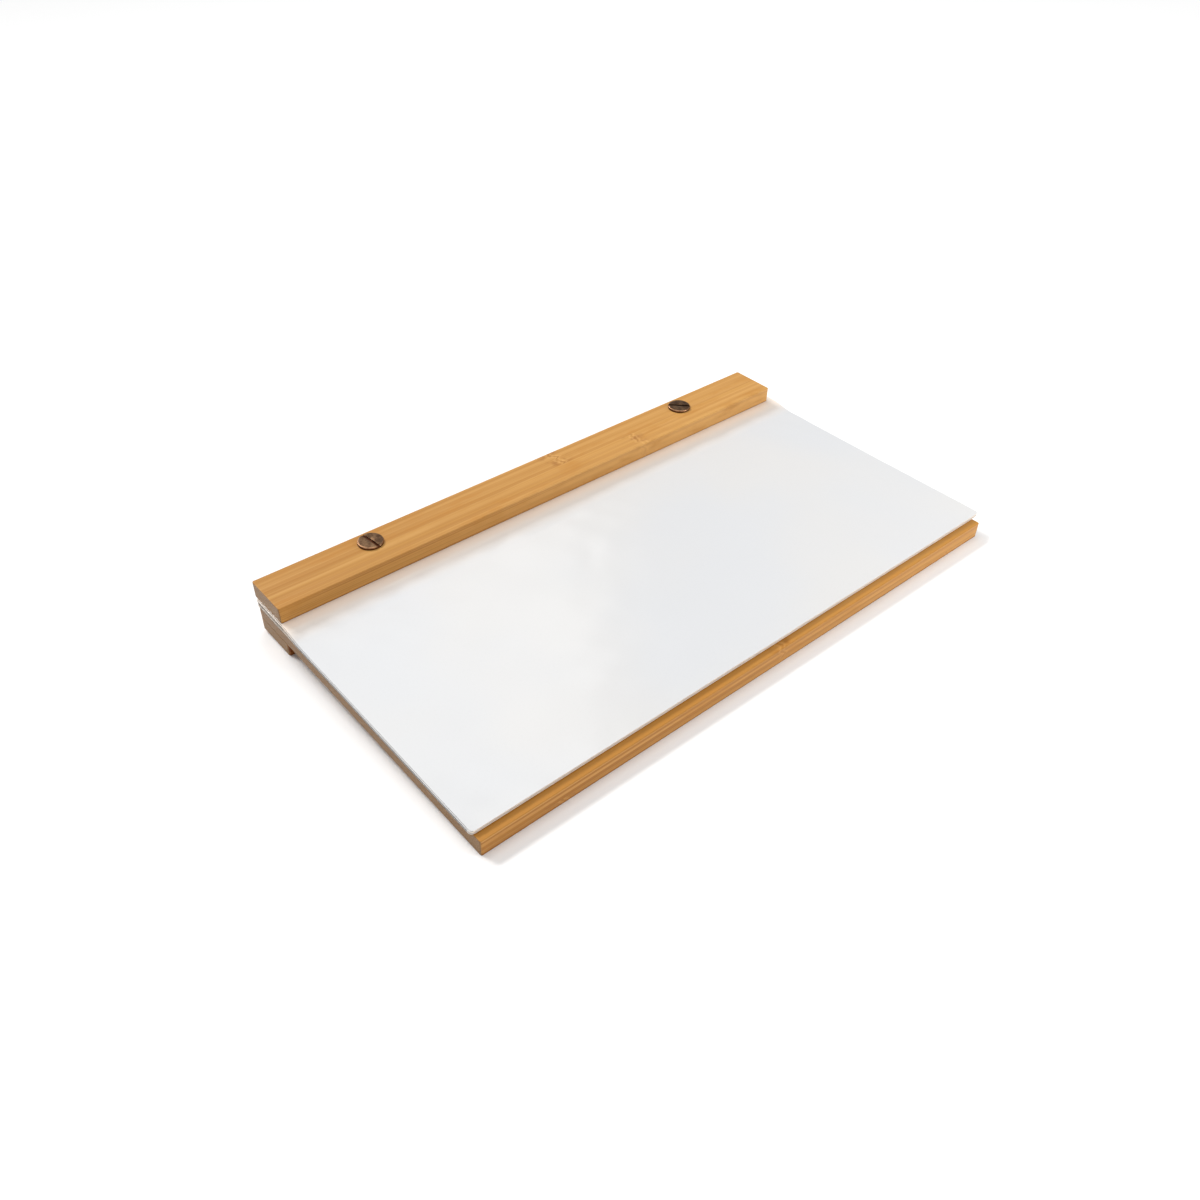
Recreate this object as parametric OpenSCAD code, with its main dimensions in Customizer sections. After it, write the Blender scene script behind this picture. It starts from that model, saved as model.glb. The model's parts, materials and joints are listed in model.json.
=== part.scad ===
// Portable drawing board: a bamboo board on a rear foot, with a bamboo bar that
// clamps a pad of flexible leaves along the back edge with two binding screws.
// Every piece is drawn in the board's own frame: X along the bar, Y = 0 at the
// back edge and negative towards the front, Z = 0 on the board's top face.
// stand_up() then tilts the whole object onto the table: +Z up, origin at the
// middle of the bottom of its bounding box.

/* [Base board] */
// Length of the board along the clamp bar
board_l = 299; // [220:1:420]
// Depth of the board, from its back edge to its front edge
board_d = 166; // [120:1:300]
// Thickness of the board
board_t = 8; // [5:0.5:15]
// Small chamfer on every wooden edge
edge_ease = 0.5; // [0.2:0.1:1.2]

/* [Rear foot] */
// Width of the foot, front to back
foot_w = 24; // [20:1:40]
// Height of the foot below the board
foot_h = 7; // [5:0.5:15]

/* [Clamp bar] */
// Width of the clamp bar, front to back
bar_w = 24; // [20:1:40]
// Thickness of the clamp bar
bar_t = 8; // [6:0.5:15]
// How far each end of the bar reaches past the board
bar_overhang = 0.5; // [0:0.1:3]

/* [Leaves] */
// How far each end of a leaf reaches past the board
leaf_overhang = 2.5; // [-10:0.5:5]
// Distance from the leaves' free edge to the front of the board
leaf_front_gap = 4; // [1:0.5:40]
// Distance from the bar's back edge to the leaves' bound edge
leaf_back_gap = 1.5; // [0.5:0.5:5]
// Thickness of a leaf's reinforced binding strip
strip_t = 0.5; // [0.4:0.05:0.8]
// Thickness of a leaf's page
page_t = 0.22; // [0.15:0.01:0.3]
// Air between one page and the next
page_air = 0.03; // [0.02:0.01:0.1]
// Length over which a page eases down from its binding strip
ease_l = 16; // [10:1:30]
// Distance from the bar's front face to the top leaf's bend
bend_gap = 0.3; // [0.2:0.1:1]
// Distance that each leaf's bend lies in front of the one above
bend_step = 0.3; // [0.25:0.05:0.6]

/* [Binding screws] */
// Distance from each end of the bar to its screw
screw_end_inset = 54; // [20:1:90]
// Distance from the bar's back edge to the screws
screw_back_inset = 8; // [7.5:0.5:12]
// Diameter of the screw head
head_d = 12; // [9:0.5:14]
// Thickness of the screw head
head_t = 1.3; // [1:0.1:2]
// Bevel around the top of the head
head_bevel = 0.6; // [0.3:0.1:0.9]
// Width of the driver slot
slot_w = 1.3; // [0.8:0.1:2]
// Depth of the driver slot
slot_depth = 0.7; // [0.4:0.1:0.9]
// Direction of the left screw's slot, from +X
left_slot_turn = -83; // [-90:1:90]
// Direction of the right screw's slot, from +X
right_slot_turn = -45; // [-90:1:90]
// Diameter of the screw's shank
shank_d = 4; // [3:0.5:5]
// Chamfer at the tip of the shank
shank_tip = 0.5; // [0.2:0.1:0.8]
// Length of shank inside the post's bore
shank_grip = 7; // [5:0.5:9]

/* [Binding posts] */
// Outer diameter of the post's barrel
barrel_d = 5.4; // [5:0.1:7]
// Diameter of the post's flange
flange_d = 12; // [9:0.5:14]
// Thickness of the post's flange
flange_t = 1.4; // [1:0.1:2]
// Depth of the flange's outer face below the foot's underside
flange_recess = 0.6; // [0.3:0.1:2]
// Distance from the top of the barrel to the top of the bar
barrel_top_gap = 3.5; // [2:0.5:5]
// Depth of the post's bore beyond the end of the shank
bore_spare = 2; // [1:0.5:4]

/* [Fits] */
// Radial clearance of the shank in the post's bore
thread_clearance = 0.05; // [0.02:0.01:0.1]
// Radial clearance of the barrel in the wooden pieces
barrel_clearance = 0.1; // [0.05:0.01:0.1]
// Radial clearance of the barrel in the leaves' punched holes
punch_clearance = 0.4; // [0.2:0.1:0.8]
// Radial clearance of the flange in its pocket
flange_clearance = 0.2; // [0.1:0.1:0.5]

/* [Hidden] */
$fn = 64;

// A cut reaches this far past the face that it opens
cut_past = 1;
leaf_count = 8;
ease_steps = 8;

// Heights in the board's frame
stack_t = leaf_count * strip_t;
bar_top = stack_t + bar_t;
foot_bottom = -board_t - foot_h;
flange_bottom = foot_bottom + flange_recess;
flange_top = flange_bottom + flange_t;
barrel_top = bar_top - barrel_top_gap;
shank_bottom = barrel_top - shank_grip;
bore_bottom = shank_bottom - bore_spare;

// Lengths
bar_l = board_l + 2 * bar_overhang;
leaf_l = board_l + 2 * leaf_overhang;
screw_x = bar_l / 2 - screw_end_inset;
screw_y = -screw_back_inset;
page_front = -board_d + leaf_front_gap;
page_flat = -bar_w - bend_gap - ease_l;
barrel_hole_r = barrel_d / 2 + barrel_clearance;
punch_r = barrel_d / 2 + punch_clearance;
pocket_r = flange_d / 2 + flange_clearance;

// The object rests on the front edge of the board and the front edge of the foot
tilt = atan(foot_h / (board_d - foot_w));
rest_height = board_d * sin(tilt) + board_t * cos(tilt);
front_reach = -board_d * cos(tilt);
back_reach = -foot_bottom * sin(tilt);
rest_shift = -(front_reach + back_reach) / 2;

module stand_up() {
    translate([0, rest_shift, rest_height]) rotate([tilt, 0, 0]) children();
}

// Outline of a rectangle with its four corners cut by a chamfer
module chamfered(a, b, c) {
    polygon([
        [c, 0], [a - c, 0], [a, c], [a, b - c],
        [a - c, b], [c, b], [0, b - c], [0, c]
    ]);
}

// Block centred on X, from Y = 0 towards the front, with every edge chamfered
module eased_block(l, w, h, c) {
    intersection() {
        translate([-l / 2, -w, 0]) linear_extrude(h) chamfered(l, w, c);
        translate([-l / 2, 0, 0]) rotate([90, 0, 0]) linear_extrude(w) chamfered(l, h, c);
        translate([-l / 2, -w, 0]) rotate([90, 0, 90]) linear_extrude(l) chamfered(w, h, c);
    }
}

// Upright cylinder on one screw's axis, between two heights
module on_axis(side, r, low, high) {
    translate([side * screw_x, screw_y, low]) cylinder(r = r, h = high - low);
}

// The holes through which both barrels pass
module barrel_holes(r, low, high) {
    for (side = [-1, 1]) on_axis(side, r, low, high);
}

module base_board() {
    color("burlywood") stand_up() difference() {
        translate([0, 0, -board_t]) eased_block(board_l, board_d, board_t, edge_ease);
        barrel_holes(barrel_hole_r, -board_t - cut_past, cut_past);
    }
}

module rear_foot() {
    color("peru") stand_up() difference() {
        translate([0, 0, foot_bottom]) eased_block(board_l, foot_w, foot_h, edge_ease);
        barrel_holes(barrel_hole_r, foot_bottom - cut_past, -board_t + cut_past);
        barrel_holes(pocket_r, foot_bottom - cut_past, flange_top);
    }
}

module clamp_bar() {
    color("burlywood") stand_up() difference() {
        translate([0, 0, stack_t]) eased_block(bar_l, bar_w, bar_t, edge_ease);
        barrel_holes(barrel_hole_r, stack_t - cut_past, bar_top + cut_past);
    }
}

// Binding screw: a bevelled, slotted flat head on a straight shank
module binding_screw(side, slot_turn) {
    head_r = head_d / 2;
    shank_r = shank_d / 2;
    color("darkgoldenrod") stand_up() translate([side * screw_x, screw_y, bar_top]) difference() {
        rotate_extrude() polygon([
            [0, shank_bottom - bar_top],
            [shank_r - shank_tip, shank_bottom - bar_top],
            [shank_r, shank_bottom - bar_top + shank_tip],
            [shank_r, 0],
            [head_r, 0],
            [head_r, head_t - head_bevel],
            [head_r - head_bevel, head_t],
            [0, head_t]
        ]);
        rotate([0, 0, slot_turn]) translate([-head_d, -slot_w / 2, head_t - slot_depth])
            cube([2 * head_d, slot_w, slot_depth + cut_past]);
    }
}

// Binding post: a flanged barrel with a blind bore for the screw's shank
module binding_post(side) {
    color("darkgoldenrod") stand_up() difference() {
        union() {
            on_axis(side, flange_d / 2, flange_bottom, flange_top);
            on_axis(side, barrel_d / 2, flange_bottom, barrel_top);
        }
        on_axis(side, shank_d / 2 + thread_clearance, bore_bottom, barrel_top + cut_past);
    }
}

// Place of a leaf's bend: the top front corner of its binding strip
function bend_y(leaf) = -bar_w - bend_gap - (leaf - 1) * bend_step;
function bend_z(leaf) = (leaf_count - leaf + 1) * strip_t;

// Height of the top face of a page where it lies flat on the ones below
function flat_z(leaf) = (leaf_count - leaf + 1) * (page_t + page_air);

// Smooth step from 0 to 1
function smooth(s) = s * s * (3 - 2 * s);

// Binding strip: the punched margin of a leaf, which the bar holds down
module binding_strip(leaf) {
    back = -leaf_back_gap;
    color("gainsboro") stand_up() difference() {
        translate([-leaf_l / 2, bend_y(leaf), bend_z(leaf) - strip_t])
            cube([leaf_l, back - bend_y(leaf), strip_t]);
        barrel_holes(punch_r, -cut_past, stack_t + cut_past);
    }
}

// Page: the part of a leaf that turns about its bend
module page(leaf) {
    drop = bend_z(leaf) - flat_z(leaf);
    reach = bend_y(leaf) - page_flat;
    top = concat(
        [for (i = [0:ease_steps]) [
            bend_y(leaf) - reach * i / ease_steps,
            bend_z(leaf) - drop * smooth(i / ease_steps)
        ]],
        [[page_front, flat_z(leaf)]]
    );
    under = [for (i = [len(top) - 1:-1:0]) [top[i][0], top[i][1] - page_t]];
    color("white") stand_up() translate([-leaf_l / 2, 0, 0]) rotate([90, 0, 90])
        linear_extrude(leaf_l) polygon(concat(top, under));
}

base_board();
rear_foot();
clamp_bar();
binding_screw(-1, left_slot_turn);  // screw_left
binding_screw(1, right_slot_turn);  // screw_right
binding_post(-1);  // post_left
binding_post(1);  // post_right
binding_strip(1);  // strip_1
binding_strip(2);  // strip_2
binding_strip(3);  // strip_3
binding_strip(4);  // strip_4
binding_strip(5);  // strip_5
binding_strip(6);  // strip_6
binding_strip(7);  // strip_7
binding_strip(8);  // strip_8
page(1);  // page_1
page(2);  // page_2
page(3);  // page_3
page(4);  // page_4
page(5);  // page_5
page(6);  // page_6
page(7);  // page_7
page(8);  // page_8
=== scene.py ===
"""A portable drawing board: a bamboo board on a rear foot, whose bamboo bar clamps a pad of glossy
flexible leaves with two antique bronze binding screws. Lengths are in metres.

Every piece is built in the board's own axes: X along the bar, Y = 0 at the board's back edge and
negative towards the front, Z = 0 on the board's top face. PLACE carries them onto the table.
"""

import json
import math

import bmesh
import bpy
from mathutils import Matrix, Quaternion, Vector


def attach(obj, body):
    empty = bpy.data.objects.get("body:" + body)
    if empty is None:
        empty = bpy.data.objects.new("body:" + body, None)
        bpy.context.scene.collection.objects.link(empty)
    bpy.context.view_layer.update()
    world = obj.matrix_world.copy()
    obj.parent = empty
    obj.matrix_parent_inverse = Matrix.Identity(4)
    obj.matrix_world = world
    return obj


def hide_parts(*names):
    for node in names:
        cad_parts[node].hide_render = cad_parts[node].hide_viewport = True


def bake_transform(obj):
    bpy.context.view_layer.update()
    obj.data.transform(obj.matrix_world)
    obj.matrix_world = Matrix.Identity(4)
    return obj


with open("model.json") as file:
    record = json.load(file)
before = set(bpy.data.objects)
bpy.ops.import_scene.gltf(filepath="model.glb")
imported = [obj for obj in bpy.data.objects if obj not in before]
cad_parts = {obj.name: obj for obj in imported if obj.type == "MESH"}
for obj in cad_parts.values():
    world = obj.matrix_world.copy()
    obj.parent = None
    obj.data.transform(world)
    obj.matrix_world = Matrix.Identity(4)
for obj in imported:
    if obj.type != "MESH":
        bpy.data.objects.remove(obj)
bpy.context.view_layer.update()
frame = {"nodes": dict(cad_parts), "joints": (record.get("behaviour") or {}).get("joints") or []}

MM = 0.001

# Wooden pieces: corner and edge radii, and how far past a round edge its supporting points lie
CORNER_R = 0.9 * MM
LEAST_CORNER_R = 0.09 * MM
BOARD_EASE = 0.25 * MM
FOOT_EASE = 0.6 * MM
SUPPORT = 0.2 * MM
CORNER_STEPS = 8
EASE_STEPS = 5

# Holes
BARREL_CLEARANCE = 0.1 * MM
PUNCH_CLEARANCE = 0.4 * MM
FLANGE_CLEARANCE = 0.2 * MM
BORE_CLEARANCE = 0.05 * MM
BORE_SPARE = 2 * MM
HOLE_STEPS = 48

# Binding posts
BARREL_D = 5.4 * MM
FLANGE_T = 1.4 * MM
FLANGE_EASE = 0.35 * MM
POST_EASE = 0.15 * MM

# Binding screws, with slots turned by degrees from the bar's length
SHANK_D = 4 * MM
SHANK_TIP = 0.5 * MM
HEAD_BEVEL = 0.6 * MM
HEAD_UNDER_R = 0.12 * MM
HEAD_CROWN = 0.06 * MM
CROWN_RIM = 0.5 * MM
CROWN_FLAT = 0.45
ARRIS = 0.07 * MM
ARRIS_ANGLE = 50
SLOT_W = 1.3 * MM
SLOT_DEPTH = 0.7 * MM
SLOT_TURN = {"left": -83, "right": -45}
TURNED_STEPS = 96

# Leaves: thickness, how they lie and bend, their unevenness, and the density of their grids
PAGE_T = 0.22 * MM
EASE_L = 16 * MM
LEAF_CORNER = 2 * MM
LEAF_SHIFT = 1.6 * MM
LEAF_SCATTER = 0.25 * MM
RIPPLE = 0.13 * MM
RIPPLE_FADE = 26 * MM
PUCKER = 0.3 * MM
PUCKER_LEFT = 0.35
PUCKER_RISE = 9 * MM
PUCKER_CALM = 12 * MM
PUCKER_FADE = 40 * MM
LEAF_COLUMNS = 110
EASE_ROWS = 14
FLAT_ROWS = 48
FINISH_STEP = 0.37

# A leaf's material indices, after 0 for its faces: cut edges in painted shade, free edges in painted light
SHADED_CUT_EDGE = 1
LIT_FREE_EDGE = 2

# ------------------------------------------------------------------ the board's own axes


def joint(name):
    """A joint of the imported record."""
    return next(j for j in frame["joints"] if j["name"] == name)


UP = Vector(joint("clamp_lift")["axis"]).normalized()
ALONG = Vector((1, 0, 0))
AXES = Matrix((ALONG, UP.cross(ALONG), UP)).transposed()


def extent(node, to_board):
    """Lowest and highest corner of a CAD node in the board's axes."""
    points = [to_board @ v.co for v in frame["nodes"][node].data.vertices]
    low = Vector([min(p[i] for p in points) for i in range(3)])
    high = Vector([max(p[i] for p in points) for i in range(3)])
    return low, high


BOARD_TOP_BACK = extent("base_board", AXES.inverted())[1]
ORIGIN = AXES @ Vector((0, BOARD_TOP_BACK.y, BOARD_TOP_BACK.z))
PLACE = Matrix.Translation(ORIGIN) @ AXES.to_4x4()
TO_BOARD = PLACE.inverted()


def span(node):
    """Lowest and highest corner of a CAD node in the board's frame."""
    return extent(node, TO_BOARD)


def screw_axis(side):
    """Where a screw's axis meets the top of the bar, in the board's frame."""
    return TO_BOARD @ Vector(joint("screw_" + side + "_turn")["pos_m"])


LEAVES = sum(1 for j in frame["joints"] if j["name"].startswith("page_"))

# ------------------------------------------------------------------ mesh helpers


def finished(name, bm, materials, smooth_angle=40):
    """Turns a bmesh into a piece with smooth faces and sharp edges."""
    bmesh.ops.recalc_face_normals(bm, faces=bm.faces)
    mesh = bpy.data.meshes.new(name)
    bm.to_mesh(mesh)
    bm.free()
    shade(mesh, smooth_angle)
    for material in materials:
        mesh.materials.append(material)
    piece = bpy.data.objects.new(name, mesh)
    bpy.context.scene.collection.objects.link(piece)
    return piece


def shade(mesh, smooth_angle):
    """Smooth shading, apart from edges sharper than an angle in degrees."""
    mesh.polygons.foreach_set("use_smooth", [True] * len(mesh.polygons))
    mesh.set_sharp_from_angle(angle=math.radians(smooth_angle))


def apply_modifiers(piece):
    """Replaces a piece's mesh with the evaluated one."""
    graph = bpy.context.evaluated_depsgraph_get()
    mesh = bpy.data.meshes.new_from_object(piece.evaluated_get(graph))
    piece.modifiers.clear()
    piece.data = mesh


def loop_of(bm, points):
    """A closed loop of vertices and its edges."""
    verts = [bm.verts.new(p) for p in points]
    edges = [bm.edges.new((a, b)) for a, b in zip(verts, verts[1:] + verts[:1])]
    return verts, edges


def skin(bm, lower, upper, material=0):
    """A band of quads between two closed loops."""
    for i in range(len(lower)):
        k = (i + 1) % len(lower)
        face = bm.faces.new((lower[i], lower[k], upper[k], upper[i]))
        face.material_index = material


def fill(bm, edges):
    """A flat cap between an outer loop and the loops of its holes."""
    bmesh.ops.triangle_fill(bm, use_beauty=True, use_dissolve=False, edges=edges)


def circle(x, y, z, radius, steps=HOLE_STEPS):
    """Points round an upright circle."""
    turns = [2 * math.pi * i / steps for i in range(steps)]
    return [(x + radius * math.cos(a), y + radius * math.sin(a), z) for a in turns]


def arc_points(x, y, radius, start, end, steps):
    """Points (x, y) on an arc, from one angle to another in degrees."""
    turns = [math.radians(start + (end - start) * i / steps) for i in range(steps + 1)]
    return [(x + radius * math.cos(a), y + radius * math.sin(a)) for a in turns]


def rounded_rectangle(low, high, inset):
    """Outline with round corners, drawn inset from the rectangle. A supporting point at each end
    of an arc keeps the long faces flat."""
    radius = max(CORNER_R - inset, LEAST_CORNER_R)
    reach = max(CORNER_R, inset + radius)
    past = CORNER_R + SUPPORT
    corners = (
        (high.x, high.y, -1, -1, 0),
        (low.x, high.y, 1, -1, 90),
        (low.x, low.y, 1, 1, 180),
        (high.x, low.y, -1, 1, 270),
    )
    points = []
    for x, y, to_x, to_y, start in corners:
        arc = arc_points(x + to_x * reach, y + to_y * reach, radius, start, start + 90, CORNER_STEPS)
        if start in (0, 180):
            before = (arc[0][0], y + to_y * past)
            after = (x + to_x * past, arc[-1][1])
        else:
            before = (x + to_x * past, arc[0][1])
            after = (arc[-1][0], y + to_y * past)
        points += [before, *arc, after]
    return points


def eased_rings(low, high, ease):
    """Inset and height of each outline of a block with rounded edges, from bottom to top."""
    rise = []
    for i in range(EASE_STEPS + 1):
        a = math.radians(90 * i / EASE_STEPS)
        rise.append((ease * (1 - math.sin(a)), ease * (1 - math.cos(a))))
    rings = [(ease + SUPPORT, 0)] + rise + [(0, ease + SUPPORT)]
    bottom = [(inset, low.z + dz) for inset, dz in rings]
    top = [(inset, high.z - dz) for inset, dz in reversed(rings)]
    return bottom + top


def wooden_block(name, low, high, ease, bore, material):
    """A block with round corners and edges, bored at both screws. The bore is a list of (height,
    radius), upwards."""
    bm = bmesh.new()
    rings = []
    for inset, z in eased_rings(low, high, ease):
        rings.append(loop_of(bm, [(x, y, z) for x, y in rounded_rectangle(low, high, inset)]))
    for (lower, _), (upper, _) in zip(rings, rings[1:]):
        skin(bm, lower, upper)
    bottom_edges = list(rings[0][1])
    top_edges = list(rings[-1][1])
    for side in SLOT_TURN:
        axis = screw_axis(side)
        walls = [loop_of(bm, circle(axis.x, axis.y, z, radius)) for z, radius in bore]
        for (lower, _), (upper, _) in zip(walls, walls[1:]):
            skin(bm, lower, upper)
        bottom_edges += walls[0][1]
        top_edges += walls[-1][1]
    fill(bm, bottom_edges)
    fill(bm, top_edges)
    piece = finished(name, bm, [material])
    piece.matrix_world = PLACE
    return piece


def turned(name, profile, material):
    """A solid turned about Z from (radius, height) points that start and end on the axis."""
    bm = bmesh.new()
    rings = [loop_of(bm, circle(0, 0, z, r, TURNED_STEPS))[0] for r, z in profile[1:-1]]
    for lower, upper in zip(rings, rings[1:]):
        skin(bm, lower, upper)
    for (_, z), ring in ((profile[0], rings[0]), (profile[-1], rings[-1])):
        centre = bm.verts.new((0, 0, z))
        for a, b in zip(ring, ring[1:] + ring[:1]):
            bm.faces.new((a, b, centre))
    return finished(name, bm, [material])


# ------------------------------------------------------------------ material helpers


def srgb(red, green, blue):
    """Linear colour from 0 to 255 display values."""
    def linear(v):
        v = v / 255
        return v / 12.92 if v <= 0.04045 else ((v + 0.055) / 1.055) ** 2.4
    return (linear(red), linear(green), linear(blue), 1)


class Shader:
    """A Principled material, with short calls that add nodes and link them."""

    def __init__(self, name, roughness, metallic=0.0, ior=1.5, specular=0.5):
        self.material = bpy.data.materials.new(name)
        self.material.use_nodes = True
        self.nodes = self.material.node_tree.nodes
        self.links = self.material.node_tree.links
        self.surface = self.nodes["Principled BSDF"]
        self.surface.inputs["Roughness"].default_value = roughness
        self.surface.inputs["Metallic"].default_value = metallic
        self.surface.inputs["IOR"].default_value = ior
        self.surface.inputs["Specular IOR Level"].default_value = specular

    def feed(self, socket, value):
        """Links a socket to another one, or sets its value."""
        if isinstance(value, bpy.types.NodeSocket):
            self.links.new(value, socket)
        else:
            socket.default_value = value

    def math(self, operation, *values):
        """A sum, a product or the like of sockets and numbers."""
        node = self.nodes.new("ShaderNodeMath")
        node.operation = operation
        for socket, value in zip(node.inputs, values):
            self.feed(socket, value)
        return node.outputs[0]

    def step(self, value, start, end, low=0.0, high=1.0):
        """Smooth change from low to high as value goes from start to end."""
        node = self.nodes.new("ShaderNodeMapRange")
        node.interpolation_type = "SMOOTHSTEP"
        for socket, item in zip(node.inputs, (value, start, end, low, high)):
            self.feed(socket, item)
        return node.outputs[0]

    def mix(self, share, first, second):
        """The first colour with a share of the second."""
        node = self.nodes.new("ShaderNodeMix")
        node.data_type = "RGBA"
        self.feed(node.inputs[0], share)
        self.feed(node.inputs[6], first)
        self.feed(node.inputs[7], second)
        return node.outputs[2]

    def combine(self, x, y, z):
        """A vector from three numbers."""
        node = self.nodes.new("ShaderNodeCombineXYZ")
        for socket, value in zip(node.inputs, (x, y, z)):
            self.feed(socket, value)
        return node.outputs[0]

    def split(self, vector):
        """The three numbers of a vector."""
        node = self.nodes.new("ShaderNodeSeparateXYZ")
        self.feed(node.inputs[0], vector)
        return node.outputs

    def noise(self, vector, scale=1.0, detail=2.0, roughness=0.5):
        """Cloudy noise around 0.5."""
        node = self.nodes.new("ShaderNodeTexNoise")
        self.feed(node.inputs["Vector"], vector)
        node.inputs["Scale"].default_value = scale
        node.inputs["Detail"].default_value = detail
        node.inputs["Roughness"].default_value = roughness
        return node.outputs[0]

    def chance(self, vector):
        """A number from 0 to 1 that is the same all over one cell."""
        node = self.nodes.new("ShaderNodeTexWhiteNoise")
        node.noise_dimensions = "3D"
        self.feed(node.inputs["Vector"], vector)
        return node.outputs[0]

    def place(self, output="Object"):
        """The point being shaded, or another of its coordinates."""
        return self.nodes.new("ShaderNodeTexCoord").outputs[output]

    def bump(self, height, strength, distance, under=None):
        """A relief, laid over another one where there is one under it."""
        node = self.nodes.new("ShaderNodeBump")
        node.inputs["Strength"].default_value = strength
        node.inputs["Distance"].default_value = distance
        self.feed(node.inputs["Height"], height)
        if under is not None:
            self.feed(node.inputs["Normal"], under)
        return node.outputs[0]

    def finish(self, colour, roughness=None, normal=None):
        """Joins the colour, the roughness and the relief to the surface."""
        self.feed(self.surface.inputs["Base Color"], colour)
        if roughness is not None:
            self.feed(self.surface.inputs["Roughness"], roughness)
        if normal is not None:
            self.feed(self.surface.inputs["Normal"], normal)
        return self.material


# ------------------------------------------------------------------ bamboo

BAMBOO_PALE = srgb(199, 150, 84)
BAMBOO_MID = srgb(187, 136, 68)
BAMBOO_DARK = srgb(160, 103, 41)
# Colour of glue lines and seams, also laid on as painted contact shade at the bottom arris
BAMBOO_GLUE_AND_SHADE = srgb(128, 78, 30)
BAMBOO_LINE = srgb(142, 82, 30)
BAMBOO_NODE = srgb(140, 84, 32)
BAMBOO_NODE_PALE = srgb(226, 176, 108)
# Painted light: a paler, more orange tone that the front faces of board and bar take a share of
BAMBOO_FRONT_LIGHT = srgb(232, 170, 92)
# Painted light: a pale tone laid on more and more towards the right end
BAMBOO_RIGHT_LIGHT = srgb(232, 180, 110)
BAMBOO_SMOKE = srgb(184, 126, 56)
# Painted shade: the board's top ledge in front of the leaves, where their shadow falls
BAMBOO_LEDGE_SHADE = srgb(170, 112, 34)
# Painted shade: a dark red-brown that the foot's front face, seen under the board, takes most of
FOOT_FRONT_SHADE = srgb(118, 54, 18)
BAMBOO_END = srgb(148, 113, 73)
BAMBOO_END_DOT = srgb(98, 66, 40)
NODE_PITCH = 237 * MM
NODE_BEND = 9 * MM
# The painted light towards the right end grows between these two places along X
RIGHT_LIGHT_FROM = -150 * MM
RIGHT_LIGHT_TO = 120 * MM
# The painted shade on the ledge weakens between these two places, from left to right
LEDGE_SHADE_FROM = -80 * MM
LEDGE_SHADE_TO = 60 * MM


class Bamboo(Shader):
    """Laminated bamboo in two layers, in the board's frame. Strips strip_w wide lie side by side
    from the back edge, and the layers meet at glue_z."""

    def __init__(self, name, strip_w, glue_z):
        super().__init__(name, roughness=0.5, ior=1.46, specular=0.22)
        self.x, self.y, self.z = self.split(self.place())
        self.normal = self.split(self.place("Normal"))
        across = self.math("DIVIDE", self.y, strip_w)
        self.strip_w = strip_w
        self.glue_z = glue_z
        self.strip = self.math("FLOOR", across)
        self.in_strip = self.math("FRACT", across)
        self.layer = self.math("GREATER_THAN", self.z, glue_z)
        self.luck = self.chance(self.combine(self.strip, self.layer, 3.0))
        self.shift = self.math("MULTIPLY", self.luck, 40.0)

    def fibres(self, along, across, detail=2.0, roughness=0.5):
        """Noise along X that differs from strip to strip, by its features in a metre each way."""
        x = self.math("MULTIPLY_ADD", self.x, along, self.shift)
        y = self.math("MULTIPLY", self.y, across)
        z = self.math("MULTIPLY", self.z, across)
        return self.noise(self.combine(x, y, z), detail=detail, roughness=roughness)

    def patches(self, along, across, detail=2.0):
        """Noise that runs on from strip to strip."""
        x = self.math("MULTIPLY", self.x, along)
        y = self.math("MULTIPLY", self.y, across)
        z = self.math("MULTIPLY", self.z, across)
        return self.noise(self.combine(x, y, z), detail=detail)

    def node_gap(self, node_x, stagger, layer_step):
        """Distance from a strip's nearest node, which is a zigzag line."""
        in_layer = self.math("MULTIPLY_ADD", self.layer, layer_step, node_x)
        in_strip = self.math("MULTIPLY_ADD", self.strip, stagger, in_layer)
        zigzag = self.math("SUBTRACT", self.fibres(0.0, 420.0, detail=1.0), 0.5)
        bent = self.math("MULTIPLY_ADD", zigzag, NODE_BEND, self.math("SUBTRACT", self.x, in_strip))
        return self.math("ABSOLUTE", self.math("WRAP", bent, NODE_PITCH / 2, -NODE_PITCH / 2))

    def seams(self):
        """Thin lines between the strips."""
        off_centre = self.math("ABSOLUTE", self.math("SUBTRACT", self.in_strip, 0.5))
        gap = self.math("MULTIPLY", self.math("SUBTRACT", 0.5, off_centre), self.strip_w)
        return self.step(gap, 0.05 * MM, 0.5 * MM, 1.0, 0.0)

    def glue(self, broad):
        """The line between the layers, uneven along its length."""
        gap = self.math("ABSOLUTE", self.math("SUBTRACT", self.z, self.glue_z))
        line = self.step(gap, 0.05 * MM, 0.22 * MM, 1.0, 0.0)
        return self.math("MULTIPLY", line, self.step(broad, 0.35, 0.6, 0.35, 1.0))

    def end_grain(self, glue):
        """Colour of a cut end, where the fibre bundles show as dots."""
        dots = self.patches(60.0, 2600.0, detail=1.0)
        colour = self.mix(self.step(dots, 0.5, 0.66), BAMBOO_END, BAMBOO_END_DOT)
        return self.mix(self.math("MULTIPLY", glue, 0.6), colour, BAMBOO_GLUE_AND_SHADE)


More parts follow.
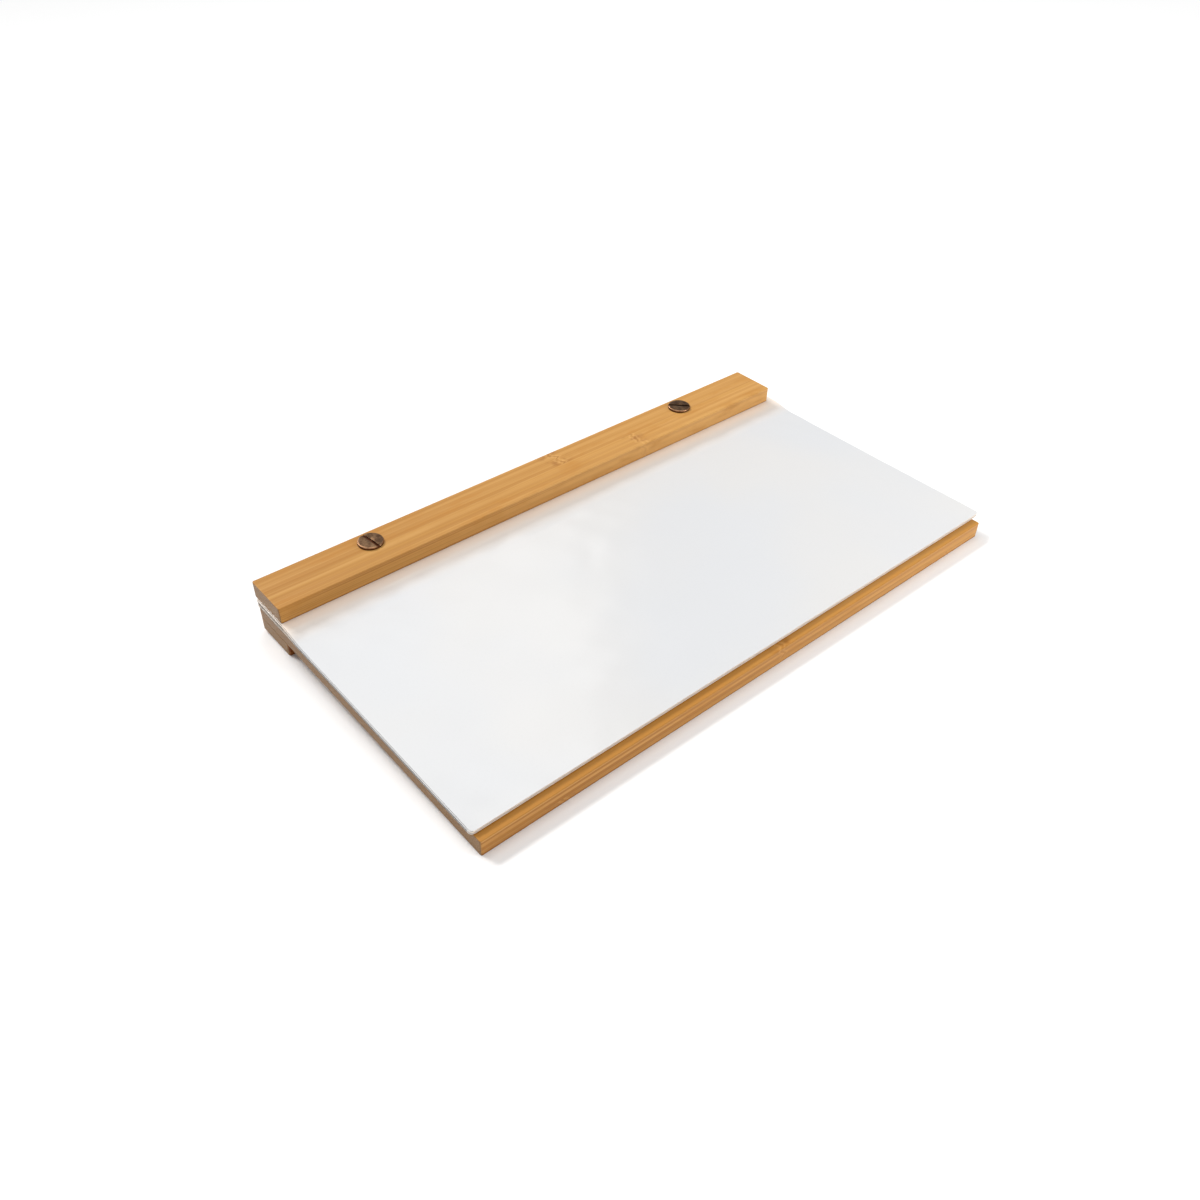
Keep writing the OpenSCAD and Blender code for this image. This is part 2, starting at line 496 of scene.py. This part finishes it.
def bamboo(name, strip_w, glue_z, node_x, stagger, layer_step, depth, low_z,
           side=BAMBOO_FRONT_LIGHT, front_paint_share=0.22, right_light=(0.0, 0.0), ledge_shade_y=None):
    """Bamboo whose strips differ by depth. The nodes start at node_x and move on by stagger for each
    strip and by layer_step for the upper layer. Front faces take front_paint_share of the colour side:
    painted light on the board and bar, painted shade on the foot. The arris at low_z and the face below
    it get painted contact shade, the top in front of ledge_shade_y gets painted shade from the leaves,
    and right_light paints light growing towards the right end (its shares on top and on sides)."""
    s = Bamboo(name, strip_w, glue_z)
    fine = s.fibres(9.0, 2100.0, detail=3.0, roughness=0.6)
    broad = s.fibres(5.0, 330.0)
    cloud = s.fibres(14.0, 60.0)
    band = s.fibres(3.0, 480.0)
    line = s.fibres(2.5, 720.0, detail=1.0)
    smoke = s.fibres(34.0, 130.0, detail=3.0, roughness=0.6)
    seam = s.seams()
    glue = s.glue(broad)

    # Bands and lines are deeper on front and back faces than on top
    sided = s.step(s.math("ABSOLUTE", s.normal[1]), 0.4, 0.85)
    band_depth = s.math("MULTIPLY_ADD", sided, 0.45, 0.25)
    line_depth = s.math("MULTIPLY_ADD", sided, 0.8, 0.15)

    # A node is a broken line with a pale rim, smudged with brown
    gap = s.node_gap(node_x, stagger, layer_step)
    broken = s.step(s.patches(260.0, 330.0), 0.4, 0.6)
    node_line = s.math("MULTIPLY", s.step(gap, 0.2 * MM, 0.75 * MM, 1.0, 0.0), broken)
    rim_end = s.step(gap, 1.3 * MM, 2.6 * MM, 1.0, 0.0)
    node_rim = s.math("MULTIPLY", s.step(gap, 0.5 * MM, 1.1 * MM), rim_end)
    smudge = s.step(s.patches(160.0, 200.0), 0.45, 0.68)
    node_smoke = s.math("MULTIPLY", s.step(gap, 1.0 * MM, 9 * MM, 1.0, 0.0), smudge)

    # Each tone is laid over the ones before it
    # Painted light towards the right end, with one share for tops and one for sides
    right_light_share = s.math("MULTIPLY_ADD", sided, right_light[1] - right_light[0], right_light[0])
    tones = [
        (s.math("MULTIPLY", s.step(band, 0.46, 0.6), band_depth), BAMBOO_DARK),
        (s.math("MULTIPLY", s.step(line, 0.53, 0.6), line_depth), BAMBOO_LINE),
        (s.step(fine, 0.52, 0.74, 0.0, 0.42), BAMBOO_DARK),
        (s.step(s.luck, 0.0, 1.0, 0.0, depth), BAMBOO_DARK),
        (s.step(cloud, 0.5, 0.8, 0.0, 0.3), BAMBOO_DARK),
        (s.math("MULTIPLY", node_smoke, 0.9), BAMBOO_NODE),
        (s.math("MULTIPLY", node_rim, 0.3), BAMBOO_NODE_PALE),
        (s.math("MULTIPLY", node_line, 0.65), BAMBOO_NODE),
        (s.math("MULTIPLY", seam, 0.16), BAMBOO_GLUE_AND_SHADE),
        (s.math("MULTIPLY", glue, 0.7), BAMBOO_GLUE_AND_SHADE),
        # Painted light on the front faces of board and bar, painted shade on the foot's front face
        (s.step(s.normal[1], -0.85, -0.4, front_paint_share, 0.0), side),
        (s.math("MULTIPLY", s.step(s.x, RIGHT_LIGHT_FROM, RIGHT_LIGHT_TO), right_light_share), BAMBOO_RIGHT_LIGHT),
    ]
    # Painted shade of the leaves on the board's ledge in front of them, stronger at the left
    if ledge_shade_y is not None:
        in_front = s.step(s.y, ledge_shade_y - 0.5 * MM, ledge_shade_y, 1.0, 0.0)
        ledge_shaded = s.math("MULTIPLY", in_front, s.step(s.normal[2], 0.2, 0.8))
        ledge_shade_depth = s.step(s.x, LEDGE_SHADE_FROM, LEDGE_SHADE_TO, 0.6, 0.25)
        tones.append((s.math("MULTIPLY", ledge_shaded, ledge_shade_depth), BAMBOO_LEDGE_SHADE))
    tones += [
        # Painted contact shade: darker at the bottom arris and on the face below it, where the piece rests
        (s.step(s.z, low_z + 0.2 * MM, low_z + 0.9 * MM, 0.6, 0.0), BAMBOO_GLUE_AND_SHADE),
        (s.step(smoke, 0.48, 0.72, 0.0, 0.6), BAMBOO_SMOKE),
        (s.step(s.math("ABSOLUTE", s.normal[0]), 0.55, 0.85), s.end_grain(glue)),
    ]
    colour = s.mix(s.step(broad, 0.32, 0.68), BAMBOO_MID, BAMBOO_PALE)
    for share, tone in tones:
        colour = s.mix(share, colour, tone)

    roughness = s.step(fine, 0.3, 0.75, 0.36, 0.56)
    grooves = s.math("ADD", seam, s.math("MULTIPLY", node_line, 1.4))
    relief = s.math("SUBTRACT", s.math("MULTIPLY", fine, -0.6), grooves)
    return s.finish(colour, roughness, s.bump(relief, 0.5, 0.05 * MM))


BOARD_WOOD = bamboo("bamboo_board", strip_w=20.75 * MM, glue_z=-5.2 * MM, node_x=11 * MM, stagger=45 * MM,
                    layer_step=-117 * MM, depth=0.25, low_z=-8 * MM, right_light=(0.0, 0.22),
                    ledge_shade_y=-161 * MM)
BAR_WOOD = bamboo("bamboo_bar", strip_w=12 * MM, glue_z=7.2 * MM, node_x=-33 * MM, stagger=-45 * MM,
                  layer_step=0.0, depth=0.2, low_z=4 * MM, right_light=(0.2, 0.6))
FOOT_WOOD = bamboo("bamboo_foot", strip_w=12 * MM, glue_z=-11.5 * MM, node_x=70 * MM, stagger=50 * MM,
                   layer_step=60 * MM, depth=0.6, low_z=-15 * MM, side=FOOT_FRONT_SHADE, front_paint_share=0.8)

# ------------------------------------------------------------------ bronze and plastic

BRONZE_PALE = srgb(130, 101, 74)
BRONZE_DARK = srgb(84, 60, 42)
BRONZE_GRIT = srgb(52, 34, 24)
BRONZE_RUBBED = srgb(190, 144, 108)
# Painted shade for the side wall below a screw head's bevel
BRONZE_WALL_SHADE = srgb(66, 30, 12)
RUB_FROM = 0.62 * MM
RUB_TO = 0.42 * MM
LEAF_COOL = srgb(211, 212, 214)
LEAF_WARM = srgb(214, 213, 212)
LEAF_GRAIN = srgb(198, 198, 198)
# Painted light: a paler, warmer band on the leaves by the bar, over the bar's shadow and for its warm
# reflection
LEAF_BAR_FILL_LIGHT = srgb(250, 236, 222)
BAR_FILL_FROM = -39 * MM
BAR_FILL_TO = -27 * MM
# Painted shade: dark tones for the leaves' cut edges; painted light: pale warm tones for their free edges
CUT_SHADE_PALE = srgb(112, 101, 90)
CUT_SHADE_DARK = srgb(84, 75, 67)
FREE_LIGHT_PALE = srgb(252, 240, 226)
FREE_LIGHT_DARK = srgb(240, 222, 204)


def bronze(name, outer_r, bevel_z):
    """Antique bronze: dark patina, painted shade that makes the side walls nearly black, and a rim rubbed to
    a dull copper.
    """
    s = Shader(name, roughness=0.4, metallic=1.0)
    point = s.place()
    x, y, z = s.split(point)
    radius = s.math("SQRT", s.math("ADD", s.math("MULTIPLY", x, x), s.math("MULTIPLY", y, y)))
    cloud = s.noise(point, 420.0, 4.0, 0.6)
    grit = s.noise(point, 2600.0, 3.0, 0.6)
    at_rim = s.step(radius, outer_r - RUB_FROM, outer_r - RUB_TO)
    rubbed = s.math("MULTIPLY", at_rim, s.step(cloud, 0.35, 0.62, 0.9, 0.3))
    # Painted shade below bevel_z: a screw's head wall, underside and shank, and only the underside of a
    # post's flange
    wall = s.step(z, bevel_z - 0.12 * MM, bevel_z + 0.1 * MM, 1.0, 0.0)
    colour = s.mix(s.step(cloud, 0.35, 0.68), BRONZE_PALE, BRONZE_DARK)
    colour = s.mix(s.step(grit, 0.52, 0.75, 0.0, 0.6), colour, BRONZE_GRIT)
    colour = s.mix(rubbed, colour, BRONZE_RUBBED)
    colour = s.mix(s.math("MULTIPLY", wall, 0.92), colour, BRONZE_WALL_SHADE)

    # Turning marks run round the piece, under the grit
    turn = s.combine(s.math("MULTIPLY", radius, 5200.0), 0.0, s.math("MULTIPLY", z, 900.0))
    marks = s.bump(s.noise(turn, detail=2.0), 0.35, 0.02 * MM)
    return s.finish(colour, s.step(grit, 0.3, 0.75, 0.3, 0.55), s.bump(grit, 0.3, 0.015 * MM, marks))


def leaf_face(name):
    """Glossy flexible white plastic, a little uneven, mapped on the flat sheet. A paler, warmer band by the
    bar is painted light that fills the bar's shadow and stands for its warm reflection.
    """
    s = Shader(name, roughness=0.16, ior=1.72)
    u, v, _ = s.split(s.place("UV"))
    flat = s.combine(u, v, 0.0)
    cloud = s.noise(flat, 9.0, 2.0)
    wash = s.noise(flat, 34.0, 2.0)
    grain = s.noise(flat, 900.0, 2.0)
    colour = s.mix(s.step(cloud, 0.35, 0.65), LEAF_COOL, LEAF_WARM)
    colour = s.mix(s.step(grain, 0.5, 0.8, 0.0, 0.12), colour, LEAF_GRAIN)
    # Painted light in a band by the bar
    colour = s.mix(s.step(v, BAR_FILL_FROM, BAR_FILL_TO, 0.0, 0.85), colour, LEAF_BAR_FILL_LIGHT)
    swell = s.bump(wash, 0.35, 0.6 * MM)
    return s.finish(colour, s.step(wash, 0.3, 0.7, 0.12, 0.22), s.bump(grain, 0.1, 0.01 * MM, swell))


def leaf_edge(name, pale, dark):
    """An edge of the same sheet, duller and a little rough, between a pale and a dark tone. Cut edges get
    painted shade and free edges painted light through these tones.
    """
    s = Shader(name, roughness=0.5)
    u, v, _ = s.split(s.place("UV"))
    saw = s.noise(s.combine(s.math("MULTIPLY", u, 700.0), s.math("MULTIPLY", v, 700.0), 0.0), detail=3.0)
    colour = s.mix(s.step(saw, 0.35, 0.7), pale, dark)
    return s.finish(colour, s.step(saw, 0.3, 0.7, 0.42, 0.62), s.bump(saw, 0.3, 0.03 * MM))


# ------------------------------------------------------------------ wood


def build_wood():
    """Board, foot and bar, with the bores that the posts and screws pass through. The foot's are
    widened from below for the posts' flanges."""
    post_low, post_high = span("post_left")
    bore_r = BARREL_D / 2 + BARREL_CLEARANCE
    pocket_r = (post_high.x - post_low.x) / 2 + FLANGE_CLEARANCE
    flange_top = post_low.z + FLANGE_T
    pieces = (
        ("board", "base_board", "base", BOARD_EASE, BOARD_WOOD),
        ("foot", "rear_foot", "base", FOOT_EASE, FOOT_WOOD),
        ("bar", "clamp_bar", "clamp_bar", BOARD_EASE, BAR_WOOD),
    )
    for name, node, body, ease, wood in pieces:
        low, high = span(node)
        bore = [(low.z, bore_r), (high.z, bore_r)]
        if name == "foot":
            bore = [(low.z, pocket_r), (flange_top, pocket_r), (flange_top, bore_r), (high.z, bore_r)]
        piece = wooden_block(name, low, high, ease, bore, wood)
        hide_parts(node)
        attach(piece, body)


# ------------------------------------------------------------------ screws and posts


def cut_slot(piece, length, top_z, turn):
    """Cuts a straight driver slot across the top of a turned head."""
    floor_z = top_z - SLOT_DEPTH
    bm = bmesh.new()
    bmesh.ops.create_cube(bm, size=1)
    bmesh.ops.scale(bm, vec=(length, SLOT_W, 2 * SLOT_DEPTH), verts=bm.verts)
    bmesh.ops.translate(bm, vec=(0, 0, floor_z + SLOT_DEPTH), verts=bm.verts)
    bmesh.ops.rotate(bm, cent=(0, 0, 0), matrix=Matrix.Rotation(turn, 3, "Z"), verts=bm.verts)
    cutter = finished("slot_cutter", bm, [])
    cut = piece.modifiers.new("slot", "BOOLEAN")
    cut.operation = "DIFFERENCE"
    cut.solver = "EXACT"
    cut.object = cutter
    apply_modifiers(piece)
    bpy.data.objects.remove(cutter)


def soften(piece):
    """Rounds a piece's sharp arrises a little."""
    bevel = piece.modifiers.new("soften", "BEVEL")
    bevel.width = ARRIS
    bevel.segments = 2
    bevel.limit_method = "ANGLE"
    bevel.angle_limit = math.radians(ARRIS_ANGLE)
    bevel.use_clamp_overlap = True
    apply_modifiers(piece)
    shade(piece.data, 35)


def build_screw(side):
    """Binding screw: a slotted flat head with a rounded bevel, on a plain shank."""
    low, high = span("screw_" + side)
    axis = screw_axis(side)
    bottom = low.z - axis.z
    head_t = high.z - axis.z
    head_r = (high.x - low.x) / 2
    shank_r = SHANK_D / 2
    crown_r = head_r - HEAD_BEVEL - CROWN_RIM
    bevel_z = head_t - HEAD_CROWN - HEAD_BEVEL
    profile = [(0, bottom), (shank_r - SHANK_TIP, bottom), (shank_r, bottom + SHANK_TIP), (shank_r, 0)]
    profile += arc_points(head_r - HEAD_UNDER_R, HEAD_UNDER_R, HEAD_UNDER_R, -90, 0, 3)
    profile += arc_points(head_r - HEAD_BEVEL, bevel_z, HEAD_BEVEL, 12, 78, 6)
    profile += [(crown_r, head_t - 0.6 * HEAD_CROWN), (CROWN_FLAT * head_r, head_t), (0, head_t)]
    screw = turned("screw_" + side, profile, bronze("bronze_" + side, head_r, head_t - HEAD_BEVEL))
    cut_slot(screw, 4 * head_r, head_t, math.radians(SLOT_TURN[side]))
    soften(screw)
    screw.matrix_world = PLACE @ Matrix.Translation(axis)
    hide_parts("screw_" + side)
    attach(screw, "screw_" + side)


def build_post(side):
    """Binding post: a flanged barrel with a blind bore."""
    low, high = span("post_" + side)
    axis = screw_axis(side)
    bottom = low.z - axis.z
    shoulder = bottom + FLANGE_T
    top = high.z - axis.z
    flange_r = (high.x - low.x) / 2
    barrel_r = BARREL_D / 2
    bore_r = SHANK_D / 2 + BORE_CLEARANCE
    bore_bottom = span("screw_" + side)[0].z - BORE_SPARE - axis.z
    profile = [(0, bottom), (flange_r - 2 * FLANGE_EASE, bottom)]
    profile += arc_points(flange_r - FLANGE_EASE, bottom + FLANGE_EASE, FLANGE_EASE, -90, 0, 5)
    profile += arc_points(flange_r - POST_EASE, shoulder - POST_EASE, POST_EASE, 0, 90, 3)
    profile += [(barrel_r, shoulder)]
    profile += arc_points(barrel_r - POST_EASE, top - POST_EASE, POST_EASE, 0, 90, 3)
    profile += [(bore_r + POST_EASE, top), (bore_r, top - POST_EASE), (bore_r, bore_bottom), (0, bore_bottom)]
    post = turned("post_" + side, profile, bronze("post_bronze_" + side, flange_r, bottom))
    post.matrix_world = PLACE @ Matrix.Translation(axis)
    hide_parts("post_" + side)
    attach(post, "base")


# ------------------------------------------------------------------ leaves


def smooth(s):
    """Smooth step from 0 to 1."""
    s = min(max(s, 0), 1)
    return s * s * (3 - 2 * s)


def ripple(x, y):
    """Gentle unevenness of a flexible sheet, from -1 to 1."""
    long_wave = math.sin(31 * x + 26 * y + 0.4)
    cross_wave = math.sin(-74 * x + 58 * y + 2.2 + 0.6 * long_wave)
    short_wave = math.sin(148 * x + 61 * y + 1.1 + 1.1 * cross_wave)
    return 0.4 * long_wave + 0.33 * cross_wave + 0.27 * short_wave


def pucker(x, y, out):
    """Small irregular swellings of the top leaf, strongest a little way out from the bar."""
    warp = math.sin(47 * x + 39 * y + 0.9)
    first = math.sin(290 * x + 120 * y + 2.6 * warp)
    second = math.sin(-170 * x + 260 * y + 1.7 + 2.1 * warp)
    calm = PUCKER_LEFT + (1 - PUCKER_LEFT) * (1 - smooth((out - PUCKER_CALM) / PUCKER_FADE))
    return PUCKER * calm * smooth(out / PUCKER_RISE) * (0.5 + 0.25 * (first + second))


def leaf_columns(left, right):
    """X places of a leaf's columns, even along its length."""
    return [left + (right - left) * i / LEAF_COLUMNS for i in range(LEAF_COLUMNS + 1)]


def leaf_rows(bend, flat_end, front):
    """Y places of a page's rows, closer along the bend and at the free corners."""
    eased = [bend + (flat_end - bend) * i / EASE_ROWS for i in range(EASE_ROWS)]
    corner_start = front + LEAF_CORNER
    flat = [flat_end + (corner_start - flat_end) * i / FLAT_ROWS for i in range(FLAT_ROWS)]
    turns = [math.radians(90 * i / CORNER_STEPS) for i in range(CORNER_STEPS + 1)]
    return eased + flat + [corner_start - LEAF_CORNER * math.sin(a) for a in turns]


def add_page(bm, columns, rows, height):
    """The free part of a leaf: an upper and a lower grid, whose outermost columns follow the round
    free corners, closed along its sides and front. Gives the first row of each grid."""
    corner_start = rows[-1] + LEAF_CORNER
    grids = []
    for drop in (0, PAGE_T):
        grid = []
        for y in rows:
            past = max(0, corner_start - y)
            cut = LEAF_CORNER - math.sqrt(max(0, LEAF_CORNER ** 2 - past ** 2))
            line = [columns[0] + cut] + columns[1:-1] + [columns[-1] - cut]
            grid.append([bm.verts.new((x, y, height(x, y) - drop)) for x in line])
        for a, b in zip(grid, grid[1:]):
            for i in range(LEAF_COLUMNS):
                bm.faces.new((a[i], a[i + 1], b[i + 1], b[i]))
        grids.append(grid)
    upper, lower = grids
    for a, b, c, d in zip(upper, upper[1:], lower, lower[1:]):
        finish = LIT_FREE_EDGE if b[0].co.y < corner_start else SHADED_CUT_EDGE
        for i in (0, LEAF_COLUMNS):
            bm.faces.new((a[i], b[i], d[i], c[i])).material_index = finish
    a, b = upper[-1], lower[-1]
    for i in range(LEAF_COLUMNS):
        bm.faces.new((a[i], a[i + 1], b[i + 1], b[i])).material_index = LIT_FREE_EDGE
    return upper[0], lower[0]


def add_strip(bm, upper_row, lower_row, left, right, back, top, bottom):
    """The binding strip of a leaf: a flat plate with a hole for each post, joined to the first rows
    of its page."""
    corners = arc_points(right - LEAF_CORNER, back - LEAF_CORNER, LEAF_CORNER, 0, 90, CORNER_STEPS)
    corners += arc_points(left + LEAF_CORNER, back - LEAF_CORNER, LEAF_CORNER, 90, 180, CORNER_STEPS)
    foot_row = [bm.verts.new((v.co.x, v.co.y, bottom)) for v in upper_row]
    rims = []
    punched = []
    for row, z in ((upper_row, top), (foot_row, bottom)):
        rim = row + [bm.verts.new((x, y, z)) for x, y in corners]
        edges = [bm.edges.get((a, b)) or bm.edges.new((a, b)) for a, b in zip(rim, rim[1:] + rim[:1])]
        holes = []
        for side in SLOT_TURN:
            axis = screw_axis(side)
            verts, hole_edges = loop_of(bm, circle(axis.x, axis.y, z, BARREL_D / 2 + PUNCH_CLEARANCE))
            holes.append(verts)
            edges += hole_edges
        fill(bm, edges)
        rims.append(rim)
        punched.append(holes)
    for hole_top, hole_bottom in zip(*punched):
        skin(bm, hole_bottom, hole_top, SHADED_CUT_EDGE)

    # Side and back walls, then the step under the page
    rim_top, rim_bottom = rims
    for i in range(LEAF_COLUMNS, len(rim_top)):
        n = (i + 1) % len(rim_top)
        along_back = min(rim_top[i].co.y, rim_top[n].co.y) > back - LEAF_CORNER / 2
        wall = bm.faces.new((rim_top[i], rim_top[n], rim_bottom[n], rim_bottom[i]))
        wall.material_index = LIT_FREE_EDGE if along_back else SHADED_CUT_EDGE
    for i in range(LEAF_COLUMNS):
        under = bm.faces.new((lower_row[i], lower_row[i + 1], foot_row[i + 1], foot_row[i]))
        under.material_index = SHADED_CUT_EDGE
    for i in (0, LEAF_COLUMNS):
        bm.faces.new((upper_row[i], lower_row[i], foot_row[i])).material_index = SHADED_CUT_EDGE


def map_flat(bm, offset):
    """Gives a leaf its own flat coordinates, so that its finish stays on it as it bends."""
    uv = bm.loops.layers.uv.new("flat")
    for bm_face in bm.faces:
        for corner in bm_face.loops:
            corner[uv].uv = (corner.vert.co.x + offset, corner.vert.co.y)


def build_leaf(k, finishes):
    """One leaf: a punched binding strip and a page in a single sheet, which bends at the bar."""
    strip_low, strip_high = span("strip_" + str(k))
    page_low, _ = span("page_" + str(k))
    bend = strip_low.y
    top = strip_high.z
    flat_top = page_low.z + PAGE_T
    flat_end = -EASE_L + span("strip_1")[0].y
    lift = flat_top / (span("page_1")[0].z + PAGE_T)
    wander = LEAF_SCATTER * math.sin(2.4 * k)
    left = strip_low.x + LEAF_SHIFT + wander
    right = strip_high.x + LEAF_SHIFT + wander
    front = page_low.y + (0 if k == 1 else LEAF_SCATTER * (0.6 + 0.6 * math.sin(1.7 * k)))

    def height(x, y):
        fall = top + (flat_top - top) * smooth((bend - y) / (bend - flat_end))
        swell = pucker(x, y, bend - y) if k == 1 else 0
        return fall + swell + RIPPLE * lift * ripple(x, y) * smooth((bend - y) / RIPPLE_FADE)

    bm = bmesh.new()
    columns = leaf_columns(left, right)
    upper_row, lower_row = add_page(bm, columns, leaf_rows(bend, flat_end, front), height)
    add_strip(bm, upper_row, lower_row, left, right, strip_high.y, top, strip_low.z)
    map_flat(bm, FINISH_STEP * k)
    leaf = finished("leaf_" + str(k), bm, finishes, smooth_angle=30)
    leaf.matrix_world = PLACE
    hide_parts("strip_" + str(k), "page_" + str(k))
    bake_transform(leaf)


def build_leaves():
    """The whole pad, from the top leaf down, with finishes in the order of the material indices."""
    finishes = [
        leaf_face("leaf_face"),
        # The cut edges' finish is painted shade, the free edges' finish painted light
        leaf_edge("leaf_edge", CUT_SHADE_PALE, CUT_SHADE_DARK),
        leaf_edge("leaf_free_edge_painted_light", FREE_LIGHT_PALE, FREE_LIGHT_DARK),
    ]
    for k in range(1, LEAVES + 1):
        build_leaf(k, finishes)


# ------------------------------------------------------------------ studio

CAMERA_AT = Vector((-0.27074, -0.29475, 0.30270))
CAMERA_LOOK = Vector((0.50524, 0.60291, -0.61744))
CAMERA_ROLL = -0.858
CAMERA_LENS = 32.0
FLOOR_SIZE = 8.0
FLOOR_TONE = (0.95, 0.95, 0.95, 1)
FLOOR_TONE_PALE = (0.96, 0.96, 0.96, 1)
SKY_COLOUR = (0.97, 0.985, 1, 1)
SKY_STRENGTH = 0.4
KEY_COLOUR = (1.0, 0.99, 0.975)
KEY_POWER = 1.13
KEY_SPREAD = 13
KEY_SIDEWAYS = {"key_left": 0.34, "key_right": 0.06}
KEY_FORWARD = -0.98
TOP_COLOUR = (1.0, 1.0, 1.0)
SIDE_COLOUR = (1.0, 0.985, 0.965)
GLEAM_COLOUR = (0.97, 0.99, 1.0)


def build_camera():
    """Camera at the viewing angle, near the front left corner and above the board."""
    camera = bpy.data.objects.new("camera", bpy.data.cameras.new("camera"))
    bpy.context.scene.collection.objects.link(camera)
    camera.data.lens = CAMERA_LENS
    camera.data.sensor_width = 36.0
    camera.location = CAMERA_AT
    camera.rotation_mode = "QUATERNION"
    roll = Quaternion((0, 0, 1), math.radians(CAMERA_ROLL))
    camera.rotation_quaternion = CAMERA_LOOK.to_track_quat("-Z", "Y") @ roll
    camera.data.clip_start = 0.01
    camera.data.clip_end = 50
    bpy.context.scene.camera = camera


def build_floor():
    """A wide, plain pale floor."""
    s = Shader("floor", roughness=0.9, specular=0.0)
    material = s.finish(s.mix(s.noise(s.place(), 3.0), FLOOR_TONE, FLOOR_TONE_PALE))
    bm = bmesh.new()
    bmesh.ops.create_grid(bm, x_segments=8, y_segments=8, size=FLOOR_SIZE / 2)
    floor = finished("floor", bm, [material])


def build_lamp(kind, name, power, colour, towards):
    """A lamp that shines along a direction."""
    light = bpy.data.lights.new(name, kind)
    light.energy = power
    light.color = colour
    lamp = bpy.data.objects.new(name, light)
    lamp.rotation_mode = "QUATERNION"
    lamp.rotation_quaternion = Vector(towards).to_track_quat("-Z", "Y")
    bpy.context.scene.collection.objects.link(lamp)
    return lamp


def build_panel(name, power, colour, size, at, towards):
    """A square panel of soft light."""
    panel = build_lamp("AREA", name, power, colour, towards)
    panel.data.size = size
    panel.location = at


def build_studio():
    """Even pale surroundings, two broad key lights from behind, and soft panels overhead, low at the
    front right, and behind at the right, where the leaves mirror it."""
    scene = bpy.context.scene
    scene.view_settings.view_transform = "Standard"
    world = bpy.data.worlds.new("studio")
    scene.world = world
    world.use_nodes = True
    sky = world.node_tree.nodes["Background"]
    sky.inputs["Color"].default_value = SKY_COLOUR
    sky.inputs["Strength"].default_value = SKY_STRENGTH
    for name, sideways in KEY_SIDEWAYS.items():
        key = build_lamp("SUN", name, KEY_POWER, KEY_COLOUR, (sideways, KEY_FORWARD, -1.0))
        key.data.angle = math.radians(KEY_SPREAD)
    build_panel("top", power=16.0, colour=TOP_COLOUR, size=1.6,
                at=(0.0, 0.0, 2.2), towards=(0.0, 0.0, -1.0))
    build_panel("side", power=2.0, colour=SIDE_COLOUR, size=0.35,
                at=(0.42, -0.52, 0.22), towards=(-0.6, 0.6, -0.2))
    build_panel("gleam", power=1.1, colour=GLEAM_COLOUR, size=0.6,
                at=(0.46, 0.92, 1.16), towards=(-0.6, -1.0, -1.2))


# ------------------------------------------------------------------ the whole object

build_camera()
build_wood()
build_leaves()
for side_name in SLOT_TURN:
    build_screw(side_name)
    build_post(side_name)
build_floor()
build_studio()
